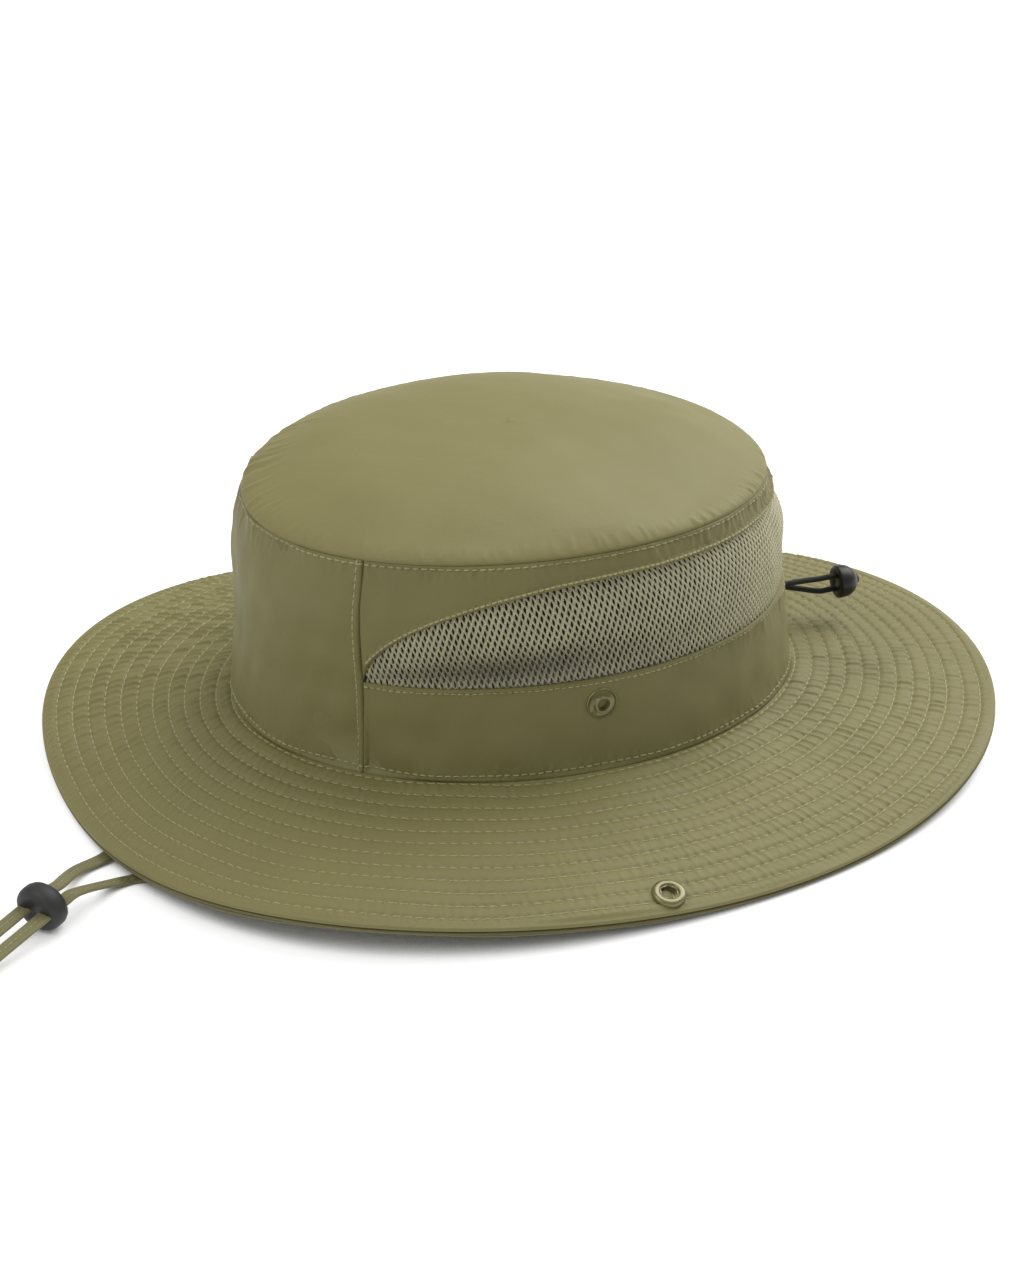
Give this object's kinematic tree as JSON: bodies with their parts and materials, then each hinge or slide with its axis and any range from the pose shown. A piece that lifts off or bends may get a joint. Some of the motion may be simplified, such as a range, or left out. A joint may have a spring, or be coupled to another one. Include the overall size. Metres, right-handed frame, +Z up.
{
  "type": "boonie hat",
  "caption": "Wide-brim sun hat with mesh vents, fold-up snap sides, a rear drawcord and a chin strap with toggle.",
  "frame": {"origin": "centre of the head opening, in the plane of the seam between crown and brim", "axes": "+X to the wearer's left, +Y to the wearer's back, +Z up"},
  "size_m": [0.3136, 0.4467, 0.1298],
  "materials": {
    "crown_cloth": "soft sheen woven polyester, olive",
    "vent_mesh": "open knit mesh, pale grey-olive",
    "lining_cloth": "matt woven tape, dark olive",
    "sweatband": "soft brushed band, dark olive",
    "brim_cloth": "soft sheen woven polyester, olive",
    "interlining": "stiff non-woven, off-white",
    "under_cloth": "soft sheen woven polyester, olive",
    "snap_enamel": "olive enamel on brass",
    "snap_back": "plain nickel",
    "eyelet": "olive enamel",
    "cord": "braided black cord",
    "bead": "black moulded plastic, satin",
    "strap_cloth": "folded and stitched woven tape, olive",
    "toggle_rubber": "charcoal moulded rubbery plastic"
  },
  "bodies": {
    "crown": {"crown_top_panel": "crown_cloth", "crown_front_panel": "crown_cloth", "upper_side_panel_left": "crown_cloth", "upper_side_panel_right": "crown_cloth", "lower_side_panel_left": "crown_cloth", "lower_side_panel_right": "crown_cloth", "mesh_vent_left": "vent_mesh", "mesh_vent_right": "vent_mesh", "back_seam_tape": "lining_cloth", "sweatband": "sweatband", "brim_top": "brim_cloth", "brim_stiffener": "interlining", "brim_under": "under_cloth", "brim_binding": "brim_cloth", "snap_stud_left": "snap_enamel", "snap_stud_right": "snap_enamel", "stud_back_left": "snap_back", "stud_back_right": "snap_back", "drawcord_eyelet": "eyelet", "drawcord_run": "cord", "strap_anchor_left": "lining_cloth", "strap_anchor_right": "lining_cloth"},
    "brim_fold_left": {"brim_top_fold_left": "brim_cloth", "brim_stiffener_fold_left": "interlining", "brim_under_fold_left": "under_cloth", "brim_binding_fold_left": "brim_cloth"},
    "brim_lip_left": {"brim_top_lip_left": "brim_cloth", "brim_stiffener_lip_left": "interlining", "brim_under_lip_left": "under_cloth", "brim_binding_lip_left": "brim_cloth", "snap_socket_left": "snap_enamel", "socket_back_left": "snap_back"},
    "brim_fold_right": {"brim_top_fold_right": "brim_cloth", "brim_stiffener_fold_right": "interlining", "brim_under_fold_right": "under_cloth", "brim_binding_fold_right": "brim_cloth"},
    "brim_lip_right": {"brim_top_lip_right": "brim_cloth", "brim_stiffener_lip_right": "interlining", "brim_under_lip_right": "under_cloth", "brim_binding_lip_right": "brim_cloth", "snap_socket_right": "snap_enamel", "socket_back_right": "snap_back"},
    "drawcord_tail": {"drawcord_tail": "cord"},
    "drawcord_toggle": {"drawcord_toggle": "bead"},
    "chin_strap": {"chin_strap": "strap_cloth"},
    "chin_toggle": {"chin_toggle": "toggle_rubber"}
  },
  "joints": [
    {"name": "fold_left", "type": "hinge", "parent": "crown", "child": "brim_fold_left", "pos_m": [0.11294, 0, -0.00674], "axis": [0, -1, 0], "range_deg": [0, 157.47]},
    {"name": "lip_left", "type": "hinge", "parent": "brim_fold_left", "child": "brim_lip_left", "pos_m": [0.1372, 0, -0.024], "axis": [0, -1, 0], "range_deg": [-48.62, 0]},
    {"name": "fold_right", "type": "hinge", "parent": "crown", "child": "brim_fold_right", "pos_m": [-0.11294, 0, -0.00674], "axis": [0, 1, 0], "range_deg": [0, 157.47]},
    {"name": "lip_right", "type": "hinge", "parent": "brim_fold_right", "child": "brim_lip_right", "pos_m": [-0.1372, 0, -0.024], "axis": [0, 1, 0], "range_deg": [-48.62, 0]},
    {"name": "drawcord_swing", "type": "hinge", "parent": "crown", "child": "drawcord_tail", "pos_m": [0, 0.10807, 0.016], "axis": [1, 0, 0], "range_deg": [-12, 65]},
    {"name": "bead_slide", "type": "slide", "parent": "drawcord_tail", "child": "drawcord_toggle", "axis": [0, -1, 0], "range_m": [0, 0.005]},
    {"name": "strap_swing", "type": "hinge", "parent": "crown", "child": "chin_strap", "pos_m": [0, 0, -0.01], "axis": [1, 0, 0], "range_deg": [0, 95]},
    {"name": "toggle_slide", "type": "slide", "parent": "chin_strap", "child": "chin_toggle", "axis": [0.5544, -0.8219, -0.1305], "range_m": [0, 0.03]}
  ],
  "couplings": [
    {"joint": "lip_left", "follows": "fold_left", "ratio": -0.29689},
    {"joint": "lip_right", "follows": "fold_right", "ratio": -0.29689}
  ]
}
